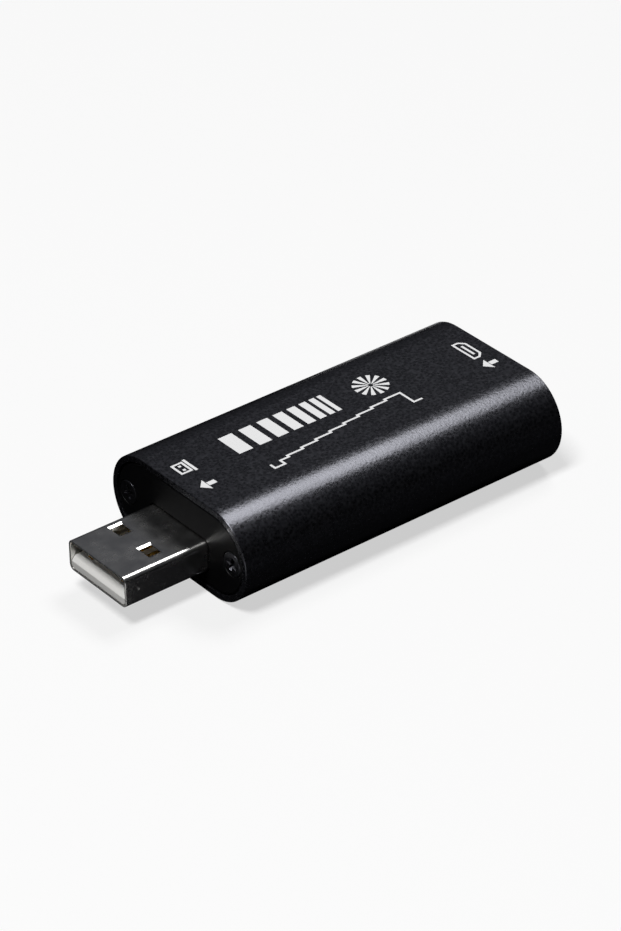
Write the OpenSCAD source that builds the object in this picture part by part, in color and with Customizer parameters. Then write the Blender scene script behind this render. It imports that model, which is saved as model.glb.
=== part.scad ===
// Video capture stick. An extruded aluminium sleeve with fully round sides is closed by two end
// plates, each let into the sleeve and held by two countersunk screws. A circuit board slides in
// the sleeve's rails and carries a data plug at one end and a video socket at the other.
// X runs from the tip of the plug to the socket, Y across the width, Z up from the resting face.
// All sizes are in millimetres.

/* [Sleeve] */
// Width of the sleeve across its round sides
body_w = 28; // [26:0.5:32]
// Height of the sleeve, which is also the diameter of its round sides
body_h = 13.2; // [12.8:0.2:15]
// Length of the sleeve from end to end
sleeve_len = 52.75; // [51:0.25:66]
// Thickness of the sleeve's wall
sleeve_wall = 0.9; // [0.7:0.05:1.1]
// Chamfer round the rim at each end of the sleeve
sleeve_chamfer = 0.1; // [0.1:0.05:0.5]

/* [End plates] */
// Thickness of each end plate
plate_t = 1.5; // [1.3:0.1:2]
// How far an end plate's face lies inside the end of the sleeve
plate_recess = 0.15; // [0:0.05:0.5]
// Gap between an end plate's edge and the sleeve
plate_gap = 0.1; // [0.05:0.05:0.2]
// Chamfer round an end plate's outer face
plate_chamfer = 0.25; // [0.1:0.05:0.4]
// Gap between an end plate and the connector that passes through it
port_gap = 0.22; // [0.05:0.01:0.3]

/* [Screws] */
// Distance from the sleeve's side to a screw's axis
screw_inset = 3.2; // [3:0.1:3.6]
// Diameter of a screw's shank
screw_d = 2; // [1.6:0.1:2.2]
// Length of a screw from the face of its head to its tip
screw_len = 6; // [4.5:0.5:8]
// Diameter of a screw's countersunk head
head_d = 3.4; // [3:0.1:3.6]
// Height of the straight edge round the head
head_edge = 0.15; // [0.05:0.05:0.2]
// How far the head lies below the plate's face
head_sink = 0; // [0:0.02:0.15]
// Width of each slot of the cross recess
recess_w = 0.5; // [0.4:0.05:0.6]
// Length of each slot of the cross recess
recess_len = 1.9; // [1.6:0.1:2.2]
// Depth of the cross recess
recess_depth = 0.75; // [0.5:0.05:0.9]
// Gap round a screw in the plate's hole
screw_play = 0.08; // [0.05:0.01:0.15]
// Gap round a screw in the sleeve's screw port
thread_play = 0.02; // [0.01:0.01:0.05]
// Wall of the round port that a screw bites into
port_wall = 0.7; // [0.6:0.05:0.9]

/* [Board] */
// Height of the board's underside above the resting face
board_z = 1.75; // [1.65:0.05:1.9]
// Thickness of the board
board_t = 1.2; // [1:0.1:1.3]
// Gap between the board's edge and the sleeve's wall
board_side_gap = 0.2; // [0.1:0.05:0.4]
// Gap between the board and each end plate
board_end_gap = 0.2; // [0.1:0.05:0.4]
// Gap between the board and the rail above it
rail_play = 0.1; // [0.05:0.05:0.2]
// Overlap of each rail and the board's edge
rail_grip = 0.8; // [0.6:0.1:1]
// Thickness of the rail above the board
rail_t = 0.7; // [0.5:0.1:0.9]
// Gap round a connector's leg in the board
leg_gap = 0.15; // [0.1:0.05:0.25]
// How far a connector's leg stands out under the board
leg_out = 0.5; // [0.3:0.1:0.6]

/* [Plug] */
// Width of the plug's shell
plug_w = 12; // [11.9:0.05:12.1]
// Thickness of the plug's shell
plug_h = 4.5; // [4.4:0.05:4.6]
// Sheet thickness of the plug's shell
plug_sheet = 0.3; // [0.25:0.05:0.35]
// Outer radius of the shell's four long corners
plug_corner = 0.85; // [0.5:0.05:0.9]
// Length of the plug outside the sleeve
plug_out = 12.75; // [12:0.25:16]
// Length of the plug inside the sleeve
plug_in = 5.75; // [5.25:0.25:7]
// Length of each window along the plug
window_len = 1.9; // [1.6:0.05:2.3]
// Width of each window across the plug
window_w = 2.05; // [1.6:0.05:2.4]
// Distance from the plug's tip to the near edge of a window
window_setback = 5.4; // [4.9:0.05:5.7]
// Width of the slope at each side of a window, from each face
window_lead = 0.4; // [0.2:0.05:0.5]
// Width of the slope at each end of a window
window_end_lead = 0.15; // [0.1:0.05:0.4]
// Depth of these slopes
window_lead_depth = 0.15; // [0.08:0.01:0.18]
// Distance between the middles of two windows
window_pitch = 6.1; // [5.6:0.1:6.6]
// Distance from the plug's middle to the middle between two windows
window_shift = 0.4; // [-0.4:0.05:0.4]
// Distance from the plug's tip to the dimple in each side
dimple_setback = 1.8; // [1.4:0.1:2.4]
// Diameter of the side dimple
dimple_d = 0.9; // [0.6:0.1:1.2]
// Depth of the side dimple
dimple_depth = 0.12; // [0.08:0.01:0.15]
// Width of the slit where the folded shell's edges meet
seam_w = 0.12; // [0.08:0.01:0.2]
// Distance from the plug's tip to the dovetail in the slit
seam_setback = 8.6; // [8.2:0.1:9]
// Length of the dovetail at its neck
seam_key_len = 1.6; // [1.2:0.1:2]
// Width of the dovetail
seam_key_w = 1.4; // [1:0.1:1.8]
// How far the dovetail flares at each side
seam_flare = 0.3; // [0.2:0.05:0.4]
// Depth of the mouth, from the tip to the block that carries the tongue
mouth_depth = 10.6; // [10:0.1:11.5]
// Thickness of the tongue
tongue_t = 1.9; // [1.7:0.05:2]
// Distance from the plug's tip to the tongue's front
tongue_setback = 0.1; // [0.05:0.05:0.5]
// Height of the lead-in bevel at the tongue's front
tongue_bevel = 0.95; // [0.4:0.05:1.2]
// Length of the lead-in bevel
tongue_bevel_len = 0.85; // [0.4:0.05:1.2]
// Chamfer of the tongue's two upper side edges
tongue_chamfer = 0.35; // [0.2:0.05:0.5]
// Gap between an insulator and the shell round it
insulator_fit = 0.04; // [0.02:0.01:0.08]
// Width of a plug contact
blade_w = 1; // [0.8:0.05:1.1]
// Thickness of a plug contact
blade_t = 0.25; // [0.2:0.05:0.3]
// Distance between the two inner contacts
blade_inner_pitch = 2; // [1.9:0.05:2.1]
// Distance between the two outer contacts
blade_outer_pitch = 7; // [6.9:0.05:7.1]
// Distance from the tongue's front to the two outer contacts
blade_setback = 1.4; // [1.2:0.1:2]
// Extra setback of the two inner contacts
blade_step = 1; // [0.8:0.1:1.2]
// Gap between a contact and its groove
blade_fit = 0.05; // [0.03:0.01:0.08]
// Gap between the shell's back and the upright part of a contact
blade_back_gap = 0.3; // [0.2:0.05:0.5]
// Length of a contact's foot on the board
blade_foot = 1.2; // [0.8:0.1:1.6]
// Width of the legs that hold the plug to the board
plug_leg_w = 1.4; // [1:0.1:1.8]

/* [Socket] */
// Width of the socket's opening
socket_w = 14; // [13.95:0.05:14.1]
// Height of the socket's opening
socket_h = 4.55; // [4.5:0.05:4.65]
// Height of the opening's upright sides
socket_side_h = 2.6; // [2.4:0.1:2.8]
// Width of the opening's narrow floor
socket_floor_w = 10.2; // [9.8:0.1:10.6]
// Inner radius of the opening's corners
socket_corner = 0.4; // [0.3:0.05:0.5]
// Sheet thickness of the socket's shell
socket_sheet = 0.3; // [0.25:0.05:0.35]
// Length of the socket's shell
socket_len = 11.3; // [10.8:0.1:12.5]
// Width of the socket's tongue
socket_tongue_w = 11.9; // [11.5:0.1:12.2]
// Thickness of the socket's tongue
socket_tongue_t = 1.3; // [1.1:0.05:1.5]
// Distance from the socket's mouth to its tongue
socket_tongue_setback = 0.7; // [0.5:0.1:1]
// Length of the block that carries the socket's tongue
socket_block = 2.9; // [2.4:0.1:3.4]
// Number of contacts on the upper face of the tongue
upper_pins = 10; // [8:1:10]
// Distance between neighbouring contacts of one row
pin_pitch = 1; // [0.9:0.05:1.05]
// Width of a socket contact
pin_w = 0.28; // [0.2:0.02:0.32]
// Thickness of a socket contact
pin_t = 0.15; // [0.1:0.01:0.2]
// Gap between a socket contact and its groove
pin_fit = 0.03; // [0.02:0.01:0.05]
// Gap between the shell's back wall and the contacts
pin_back_gap = 0.15; // [0.1:0.05:0.25]
// Distance from the tongue's front to the contacts
pin_setback = 0.8; // [0.5:0.1:1.2]
// Length of a socket contact's foot on the board
pin_foot = 0.8; // [0.6:0.1:1]
// Width of each spring finger in the shell
finger_w = 1.6; // [1.2:0.1:2]
// Length of each spring finger
finger_len = 4.2; // [3.5:0.1:5]
// Width of the slit round a spring finger
finger_slit = 0.3; // [0.2:0.05:0.4]
// How far a spring finger's tip dips into the opening
finger_dip = 0.3; // [0.2:0.05:0.4]
// Distance from the mouth to the root of the fingers
finger_setback = 1.6; // [1.2:0.1:2]
// Distance between the middles of two fingers
finger_pitch = 6; // [5:0.2:6.4]
// Width of the legs that hold the socket to the board
socket_leg_w = 1; // [0.8:0.1:1.4]
// Distance from the mouth to the front legs
socket_leg_setback = 4.2; // [3.4:0.1:5]
// Distance between the front and the back legs
socket_leg_pitch = 5; // [4.6:0.1:5.4]

/* [Board parts] */
// Side of the capture chip
chip_w = 7; // [6:0.5:8]
// Height of the capture chip
chip_t = 0.85; // [0.7:0.05:1]
// Pads along each side of the capture chip
chip_pads = 12; // [8:1:12]
// Distance between neighbouring chip pads
chip_pitch = 0.5; // [0.4:0.05:0.5]
// Width of a chip pad
chip_pad_w = 0.25; // [0.2:0.01:0.3]
// Length of a chip pad
chip_pad_len = 0.45; // [0.3:0.05:0.6]
// Thickness of a chip pad
chip_pad_t = 0.2; // [0.15:0.05:0.3]
// Distance from the socket's feet to the middle of the capture chip
chip_setback = 10.5; // [9.5:0.1:11.5]
// Distance from the capture chip's edge to the middle of the memory chip
memory_setback = 8; // [7.6:0.1:8.4]
// Distance of the memory chip and the crystal from the board's middle line
board_row_y = 4.9; // [4.7:0.1:5.2]
// Length of the memory chip's body
memory_len = 4.9; // [4.7:0.1:5.1]
// Width of the memory chip's body
memory_w = 3.9; // [3.7:0.1:4.1]
// Height of the memory chip's body
memory_t = 1.45; // [1.2:0.05:1.6]
// Distance between neighbouring memory leads
memory_pitch = 1.27; // [1.2:0.01:1.3]
// Length of the crystal's can
crystal_len = 10.2; // [9.6:0.1:10.8]
// Width of the crystal's can
crystal_w = 3.7; // [3.4:0.1:4]
// Height of the crystal's can
crystal_t = 3.2; // [2.6:0.1:3.6]
// Width of the flange round the foot of the can
crystal_flange = 0.4; // [0.3:0.05:0.5]
// Thickness of the crystal's base
crystal_base_t = 0.8; // [0.6:0.1:1]
// Distance from the memory chip to each voltage regulator
regulator_setback = 5.4; // [5:0.1:5.8]
// Length of a voltage regulator's body
regulator_len = 2.9; // [2.8:0.05:3.1]
// Width of a voltage regulator's body
regulator_w = 1.6; // [1.5:0.05:1.7]
// Height of a voltage regulator's body
regulator_t = 1.1; // [0.9:0.05:1.2]
// Distance between neighbouring regulator leads
regulator_pitch = 0.95; // [0.9:0.05:1]
// Number of chip resistors in the row behind the socket
resistors = 6; // [4:1:7]
// Distance between neighbouring capacitors or resistors in a row
passive_pitch = 1.9; // [1.5:0.1:2.2]
// Gap between a capacitor and the part beside it
passive_gap = 0.9; // [0.7:0.1:1.1]
// Length of a chip capacitor or resistor
passive_len = 1.6; // [1.5:0.05:1.7]
// Width of a chip capacitor or resistor
passive_w = 0.8; // [0.7:0.05:0.9]
// Height of a chip capacitor
capacitor_t = 0.8; // [0.6:0.05:0.9]
// Height of a chip resistor
resistor_t = 0.45; // [0.35:0.05:0.5]
// Length of the metal end of a capacitor or resistor
passive_end = 0.35; // [0.25:0.05:0.45]
// Thickness of the leads of the small packages
lead_t = 0.2; // [0.15:0.01:0.25]
// Width of the leads of the small packages
lead_w = 0.4; // [0.35:0.01:0.45]
// How far the small packages' leads reach out from the body
lead_reach = 1; // [0.8:0.05:1.1]
// Gap between a small package and the board
package_lift = 0.1; // [0.05:0.05:0.15]

/* [Hidden] */
$fn = 48;

// A small overlap for cuts that break through a face
cut = 0.5;
// How far a rail, web, finger or leg is rooted in the wall that carries it
root = 0.1;

// Places along X: the whole object is centred on its length
total_len = sleeve_len + plug_out;
tip_x = -total_len / 2;
sleeve_x0 = tip_x + plug_out;
sleeve_x1 = sleeve_x0 + sleeve_len;
plug_plate_x = sleeve_x0 + plate_recess;
socket_plate_x = sleeve_x1 - plate_recess;
rail_x0 = plug_plate_x + plate_t;
rail_x1 = socket_plate_x - plate_t;
board_x0 = rail_x0 + board_end_gap;
board_x1 = rail_x1 - board_end_gap;
plug_rear_x = sleeve_x0 + plug_in;
socket_rear_x = socket_plate_x - socket_len;

// Places across Y and up Z
mid_z = body_h / 2;
side_y = (body_w - body_h) / 2;
inner_r = body_h / 2 - sleeve_wall;
screw_y = body_w / 2 - screw_inset;
thread_r = screw_d / 2 + thread_play;
board_top = board_z + board_t;
board_half_w = side_y + sqrt(pow(inner_r, 2) - pow(mid_z - board_z, 2)) - board_side_gap;
rail_y = board_half_w - rail_grip;
plug_mid_z = board_top + plug_h / 2;
tongue_z = board_top + plug_sheet + insulator_fit;
tongue_top = tongue_z + tongue_t;
socket_z = board_top + socket_sheet;
blade_row_z = socket_z + socket_h / 2;

// Outline of the end plates
plate_w = body_w - 2 * (sleeve_wall + plate_gap);
plate_h = body_h - 2 * (sleeve_wall + plate_gap);

// The plug's tongue and contacts: places along and across, and the upright part behind the shell
tongue_x = tip_x + tongue_setback;
blade_ys = [-blade_outer_pitch, -blade_inner_pitch, blade_inner_pitch, blade_outer_pitch] / 2;
blade_xs = [for (step = [0, blade_step, blade_step, 0]) tongue_x + blade_setback + step];
blade_drop_x = plug_rear_x + blade_back_gap;
plug_leg_x = plug_rear_x - plug_leg_w;

// The socket's contacts: the upright part lies between the block and the shell's back wall
pin_drop_x = socket_rear_x + socket_sheet + pin_back_gap;
socket_block_x0 = pin_drop_x + pin_t + pin_fit;
socket_block_x1 = socket_block_x0 + socket_block;
socket_tongue_x = socket_plate_x - socket_tongue_setback;
pin_foot_x = socket_rear_x - pin_foot;
upper_ys = [for (i = [0 : upper_pins - 1]) (i - (upper_pins - 1) / 2) * pin_pitch];
lower_ys = [for (i = [1 : upper_pins - 1]) (i - upper_pins / 2) * pin_pitch];
finger_x = socket_plate_x - finger_setback;

// Layout of the board: the chip near the socket, then the memory chip and the crystal side by side
chip_x = pin_foot_x - chip_setback;
memory_x = chip_x - chip_w / 2 - memory_setback;
memory_y = -board_row_y;
crystal_x = memory_x;
crystal_y = board_row_y;
regulator_xs = [memory_x - regulator_setback, memory_x + regulator_setback];
regulator_y = -board_row_y;
resistor_x = chip_x + chip_w / 2 + passive_gap + 2 * passive_len;

// Places of the capacitors, as [x, y, turn]: along two sides of the chip, and beside each regulator
capacitor_places = concat(
    [
        for (side = [-1, 1], i = [-1, 0, 1])
            [chip_x + i * passive_pitch, side * (chip_w / 2 + passive_gap + passive_len / 2), 90]
    ],
    [for (x = regulator_xs) [x, regulator_y + regulator_w / 2 + lead_reach + passive_gap, 0]]
);

// Places of the resistors: a row between the chip and the socket
resistor_places = [for (i = [0 : resistors - 1]) [resistor_x, (i - (resistors - 1) / 2) * passive_pitch, 0]];

// Outline tools

// Outward unit normal of the edge from a to b of an outline that runs anticlockwise
function edge_normal(a, b) = [b[1] - a[1], a[0] - b[0]] / norm(b - a);

// A convex anticlockwise outline with every edge moved outwards by g
function grow(points, g) = [
    for (i = [0 : len(points) - 1])
        let (
            before = points[(i + len(points) - 1) % len(points)],
            here = points[i],
            after = points[(i + 1) % len(points)],
            n1 = edge_normal(before, here),
            n2 = edge_normal(here, after)
        )
        here + g * (n1 + n2) / (1 + n1 * n2)
];

// Corners of a rectangle centred on the origin
function box_outline(w, h) = [[-w / 2, -h / 2], [w / 2, -h / 2], [w / 2, h / 2], [-w / 2, h / 2]];

// Corners of the socket's opening, with its floor at zero height
function socket_outline() = [
    [-socket_floor_w / 2, 0],
    [socket_floor_w / 2, 0],
    [socket_w / 2, socket_h - socket_side_h],
    [socket_w / 2, socket_h],
    [-socket_w / 2, socket_h],
    [-socket_w / 2, socket_h - socket_side_h]
];

// A convex outline with its corners rounded to radius r
module rounded(points, r) {
    centres = grow(points, -r);
    count = len(points);
    polygon([
        for (i = [0 : count - 1], side = [0, 1])
            let (edge = (i + count - 1 + side) % count)
            centres[i] + r * edge_normal(points[edge], points[(edge + 1) % count])
    ]);
    for (centre = centres)
        translate(centre) circle(r);
}

// A flat outline with fully round sides
module stadium(w, h) {
    square([w - h, h], center = true);
    for (side = [-1, 1])
        translate([side * (w - h) / 2, 0]) circle(h / 2);
}

// An outline in Y and Z, drawn out along X
module along_x(x0, x1) {
    translate([x0, 0, 0]) rotate([90, 0, 90]) linear_extrude(x1 - x0) children();
}

// An outline in X and Z, drawn out along Y
module along_y(y0, y1) {
    translate([0, y1, 0]) rotate([90, 0, 0]) linear_extrude(y1 - y0) children();
}

// A box from its lowest to its highest corner
module block(low, high) {
    translate(low) cube(high - low);
}

// A bar with fully round sides along X, chamfered at its two ends
module round_sided_bar(x0, x1, w, h, chamfer0, chamfer1) {
    flat = (w - h) / 2;
    r = h / 2;
    half = [[r - chamfer0, x0], [r, x0 + chamfer0], [r, x1 - chamfer1], [r - chamfer1, x1]];
    translate([0, 0, mid_z]) {
        along_y(-flat, flat)
            polygon(concat(
                [for (p = half) [p[1], p[0]]],
                [for (i = [len(half) - 1 : -1 : 0]) [half[i][1], -half[i][0]]]
            ));
        for (side = [-1, 1])
            translate([0, side * flat, 0]) rotate([0, 90, 0])
                rotate_extrude() polygon(concat([[0, x0]], half, [[0, x1]]));
    }
}

// Sleeve

// Section of the rails and screw ports, rooted in the middle of the wall
module rail_section() {
    difference() {
        intersection() {
            translate([0, mid_z]) stadium(body_w - sleeve_wall, body_h - sleeve_wall);
            for (side = [-1, 1]) {
                translate([side * screw_y, mid_z]) circle(thread_r + port_wall);
                translate([side * (screw_y + body_w / 4), mid_z])
                    square([body_w / 2, 2 * port_wall], center = true);
                translate([side * (rail_y + body_w / 4), board_z / 2])
                    square([body_w / 2, board_z], center = true);
                translate([side * (rail_y + body_w / 4), board_top + rail_play + rail_t / 2])
                    square([body_w / 2, rail_t], center = true);
            }
        }
        for (side = [-1, 1])
            translate([side * screw_y, mid_z]) circle(thread_r);
    }
}

module body_sleeve() {
    color("#26262b") {
        difference() {
            round_sided_bar(sleeve_x0, sleeve_x1, body_w, body_h, sleeve_chamfer, sleeve_chamfer);
            along_x(sleeve_x0 - cut, sleeve_x1 + cut)
                translate([0, mid_z]) stadium(body_w - 2 * sleeve_wall, body_h - 2 * sleeve_wall);
        }
        along_x(rail_x0, rail_x1) rail_section();
    }
}

// End plates and screws

// A screw's outline as radius and depth below the head's face, grown by play
function screw_profile(play, top, depth) = [
    [0, top],
    [head_d / 2 + play, top],
    [head_d / 2 + play, head_edge],
    [screw_d / 2 + play, head_edge + (head_d - screw_d) / 2],
    [screw_d / 2 + play, depth],
    [0, depth]
];

// Puts a shape drawn along +Z at both screws of one end: facing is 1 at the plug end and -1 at the other
module at_screws(face_x, facing) {
    for (side = [-1, 1])
        translate([face_x, side * screw_y, mid_z]) rotate([0, facing * 90, 0]) children();
}

module screw_holes(face_x, facing) {
    at_screws(face_x, facing)
        translate([0, 0, head_sink]) rotate_extrude() polygon(screw_profile(screw_play, -cut, plate_t + cut));
}

module screws(face_x, facing) {
    at_screws(face_x, facing)
        translate([0, 0, head_sink]) difference() {
            rotate_extrude() polygon(screw_profile(0, 0, screw_len));
            for (turn = [45, 135])
                rotate([0, 0, turn]) translate([0, 0, recess_depth / 2 - cut / 2])
                    cube([recess_len, recess_w, recess_depth + cut], center = true);
        }
}

module plug_end_plate() {
    color("#1a1a1d") difference() {
        round_sided_bar(plug_plate_x, rail_x0, plate_w, plate_h, plate_chamfer, 0);
        along_x(plug_plate_x - cut, rail_x0 + cut)
            translate([0, plug_mid_z])
                rounded(grow(box_outline(plug_w, plug_h), port_gap), plug_corner + port_gap);
        screw_holes(plug_plate_x, 1);
    }
}

module socket_end_plate() {
    color("#1a1a1d") difference() {
        round_sided_bar(rail_x1, socket_plate_x, plate_w, plate_h, 0, plate_chamfer);
        along_x(rail_x1 - cut, socket_plate_x + cut)
            translate([0, socket_z])
                rounded(
                    grow(socket_outline(), socket_sheet + port_gap),
                    socket_corner + socket_sheet + port_gap
                );
        screw_holes(socket_plate_x, -1);
    }
}

module plug_end_screws() {
    color("#3a3a3e") screws(plug_plate_x, 1);
}

module socket_end_screws() {
    color("#3a3a3e") screws(socket_plate_x, -1);
}

// Circuit board

// Middles of the plug's two legs and the socket's four legs, as [x, y, width]
plug_legs = [for (side = [-1, 1]) [plug_leg_x, side * (plug_w - plug_sheet) / 2, plug_leg_w]];
socket_legs = [
    for (side = [-1, 1], row = [0, 1])
        [
            socket_plate_x - socket_leg_setback - row * socket_leg_pitch,
            side * (socket_w + socket_sheet) / 2,
            socket_leg_w
        ]
];

module circuit_board() {
    color("#1d5a33") difference() {
        block([board_x0, -board_half_w, board_z], [board_x1, board_half_w, board_top]);
        for (leg = plug_legs)
            leg_slot(leg, plug_sheet);
        for (leg = socket_legs)
            leg_slot(leg, socket_sheet);
    }
}

module leg_slot(leg, sheet) {
    translate([leg[0], leg[1], board_z + board_t / 2])
        cube([leg[2] + 2 * leg_gap, sheet + 2 * leg_gap, board_t + 2 * cut], center = true);
}

// A leg of a connector, from a height on its side wall down through the board
module leg(place, sheet, top) {
    low = board_z - leg_out;
    translate([place[0], place[1], (low + top) / 2]) cube([place[2], sheet, top - low], center = true);
}

// Data plug

// Four corners of a strip of width w from a to b, with square ends
function strip(a, b, w) =
    let (along = (b - a) / norm(b - a) * w / 2, across = edge_normal(a, b) * w / 2)
    [a - along + across, a - along - across, b + along - across, b + along + across];

// The slit in the shell's floor, led round a dovetail that locks the folded edges together
module seam() {
    path = [
        [tip_x - cut, 0],
        [tip_x + seam_setback, 0],
        [tip_x + seam_setback - seam_flare, seam_key_w],
        [tip_x + seam_setback + seam_key_len + seam_flare, seam_key_w],
        [tip_x + seam_setback + seam_key_len, 0],
        [plug_rear_x + cut, 0]
    ];
    translate([0, 0, board_top - cut]) linear_extrude(plug_sheet + 2 * cut)
        for (i = [0 : len(path) - 2])
            polygon(strip(path[i], path[i + 1], seam_w));
}

// Pressed dimples in the shell's two sides
module dimples() {
    ball_r = (pow(dimple_d / 2, 2) + pow(dimple_depth, 2)) / (2 * dimple_depth);
    for (side = [-1, 1])
        translate([tip_x + dimple_setback, side * (plug_w / 2 + ball_r - dimple_depth), plug_mid_z])
            sphere(ball_r);
}

// Section of a window: straight through the sheet, with a slope at each face of the shell
module window_section(len, lead) {
    high = plug_h / 2;
    flare = len / 2 + lead * (1 + cut / window_lead_depth);
    translate([0, plug_mid_z]) polygon([
        [-flare, -high - cut],
        [flare, -high - cut],
        [len / 2, -high + window_lead_depth],
        [len / 2, high - window_lead_depth],
        [flare, high + cut],
        [-flare, high + cut],
        [-len / 2, high - window_lead_depth],
        [-len / 2, -high + window_lead_depth]
    ]);
}

module windows() {
    reach = window_len + window_w;
    for (side = [-1, 1])
        translate([tip_x + window_setback + window_len / 2, window_shift + side * window_pitch / 2, 0])
            intersection() {
                along_y(-reach, reach) window_section(window_len, window_end_lead);
                along_x(-reach, reach) window_section(window_w, window_lead);
            }
}

module plug_shell() {
    color("#c9c9cf") {
        difference() {
            along_x(tip_x, plug_rear_x)
                translate([0, plug_mid_z]) difference() {
                    rounded(box_outline(plug_w, plug_h), plug_corner);
                    rounded(grow(box_outline(plug_w, plug_h), -plug_sheet), plug_corner - plug_sheet);
                }
            windows();
            seam();
            dimples();
        }
        for (place = plug_legs)
            leg(place, plug_sheet, board_top + plug_corner + root);
    }
}

// The tongue's section: two chamfered upper corners
module tongue_section(w) {
    polygon([
        [-w / 2, tongue_z],
        [w / 2, tongue_z],
        [w / 2, tongue_top - tongue_chamfer],
        [w / 2 - tongue_chamfer, tongue_top],
        [-w / 2 + tongue_chamfer, tongue_top],
        [-w / 2, tongue_top - tongue_chamfer]
    ]);
}

// The block fills the shell behind the mouth and carries the tongue with its four grooves
module plug_insulator() {
    outline = grow(box_outline(plug_w, plug_h), -plug_sheet - insulator_fit);
    block_x = tip_x + mouth_depth;
    color("#eeeeea") difference() {
        union() {
            along_x(block_x, plug_rear_x)
                translate([0, plug_mid_z]) rounded(outline, plug_corner - plug_sheet);
            along_x(tongue_x, block_x + root)
                intersection() {
                    translate([0, plug_mid_z]) rounded(outline, plug_corner - plug_sheet);
                    tongue_section(outline[1][0] - outline[0][0]);
                }
        }
        along_y(-plug_w / 2, plug_w / 2)
            polygon([
                [tongue_x - cut, tongue_top - tongue_bevel * (1 + cut / tongue_bevel_len)],
                [tongue_x + tongue_bevel_len, tongue_top],
                [tongue_x + tongue_bevel_len, tongue_top + cut],
                [tongue_x - cut, tongue_top + cut]
            ]);
        for (i = [0 : len(blade_ys) - 1])
            translate([0, blade_ys[i], tongue_top])
                block(
                    [blade_xs[i] - blade_fit, -blade_w / 2 - blade_fit, -blade_t - blade_fit],
                    [plug_rear_x + cut, blade_w / 2 + blade_fit, blade_fit]
                );
    }
}

// Each contact lies in its groove, turns down behind the shell and ends in a foot on the board
module plug_contacts() {
    color("#d8b25c") for (i = [0 : len(blade_ys) - 1])
        along_y(blade_ys[i] - blade_w / 2, blade_ys[i] + blade_w / 2)
            polygon([
                [blade_xs[i], tongue_top - blade_t],
                [blade_drop_x, tongue_top - blade_t],
                [blade_drop_x, board_top],
                [blade_drop_x + blade_t + blade_foot, board_top],
                [blade_drop_x + blade_t + blade_foot, board_top + blade_t],
                [blade_drop_x + blade_t, board_top + blade_t],
                [blade_drop_x + blade_t, tongue_top],
                [blade_xs[i], tongue_top]
            ]);
}

// Video socket

// The shell's openings round the spring fingers: face is 1 for the roof, -1 for the floor
module finger_openings(face) {
    half_w = finger_w / 2 + finger_slit;
    z = face > 0 ? socket_z + socket_h : board_top;
    for (side = [-1, 1])
        translate([finger_x, side * finger_pitch / 2, z])
            block([-finger_len - finger_slit, -half_w, -root], [0, half_w, socket_sheet + root]);
}

// The spring fingers, rooted towards the mouth and bent into the opening
module fingers(face) {
    z_in = blade_row_z + face * socket_h / 2;
    z_out = z_in + face * socket_sheet;
    dip = face * finger_dip;
    for (side = [-1, 1])
        along_y(side * finger_pitch / 2 - finger_w / 2, side * finger_pitch / 2 + finger_w / 2)
            polygon([
                [finger_x + root, z_in],
                [finger_x + root, z_out],
                [finger_x, z_out],
                [finger_x - finger_len, z_out - dip],
                [finger_x - finger_len, z_in - dip],
                [finger_x, z_in]
            ]);
}

module socket_shell() {
    feet_half_w = (upper_pins - 1) / 2 * pin_pitch + pin_w / 2 + leg_gap;
    color("#b9b9bf") {
        difference() {
            along_x(socket_rear_x, socket_plate_x)
                translate([0, socket_z])
                    rounded(grow(socket_outline(), socket_sheet), socket_corner + socket_sheet);
            along_x(socket_rear_x + socket_sheet, socket_plate_x + cut)
                translate([0, socket_z]) rounded(socket_outline(), socket_corner);
            block(
                [socket_rear_x - cut, -feet_half_w, board_top - cut],
                [socket_block_x0, feet_half_w, socket_z + cut]
            );
            for (face = [-1, 1])
                finger_openings(face);
        }
        for (face = [-1, 1])
            fingers(face);
        for (place = socket_legs)
            leg(place, socket_sheet, socket_z + socket_h - socket_side_h + cut);
    }
}

// The block closes the back of the socket and carries the tongue, grooved on both faces
module socket_insulator() {
    low = blade_row_z - socket_tongue_t / 2;
    high = blade_row_z + socket_tongue_t / 2;
    bevel = socket_tongue_t / 4;
    color("#1b1b1d") difference() {
        union() {
            along_x(socket_block_x0, socket_block_x1)
                translate([0, socket_z]) rounded(grow(socket_outline(), -insulator_fit), socket_corner);
            along_y(-socket_tongue_w / 2, socket_tongue_w / 2)
                polygon([
                    [socket_block_x1 - root, low],
                    [socket_tongue_x - bevel, low],
                    [socket_tongue_x, low + bevel],
                    [socket_tongue_x, high - bevel],
                    [socket_tongue_x - bevel, high],
                    [socket_block_x1 - root, high]
                ]);
        }
        for (y = upper_ys)
            pin_groove(y, high - pin_t);
        for (y = lower_ys)
            pin_groove(y, low);
    }
}

// A groove for a contact whose lower face lies at height z
module pin_groove(y, z) {
    block(
        [socket_block_x0 - cut, y - pin_w / 2 - pin_fit, z - pin_fit],
        [socket_tongue_x - pin_setback + pin_fit, y + pin_w / 2 + pin_fit, z + pin_t + pin_fit]
    );
}

// A row of contacts at height z, each led down behind the block to a foot on the board
module pin_row(ys, z) {
    for (y = ys)
        along_y(y - pin_w / 2, y + pin_w / 2)
            polygon([
                [socket_tongue_x - pin_setback, z + pin_t],
                [pin_drop_x, z + pin_t],
                [pin_drop_x, board_top + pin_t],
                [pin_foot_x, board_top + pin_t],
                [pin_foot_x, board_top],
                [pin_drop_x + pin_t, board_top],
                [pin_drop_x + pin_t, z],
                [socket_tongue_x - pin_setback, z]
            ]);
}

module socket_upper_contacts() {
    color("#d8b25c") pin_row(upper_ys, blade_row_z + socket_tongue_t / 2 - pin_t);
}

module socket_lower_contacts() {
    color("#d8b25c") pin_row(lower_ys, blade_row_z - socket_tongue_t / 2);
}

// Board parts

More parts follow.
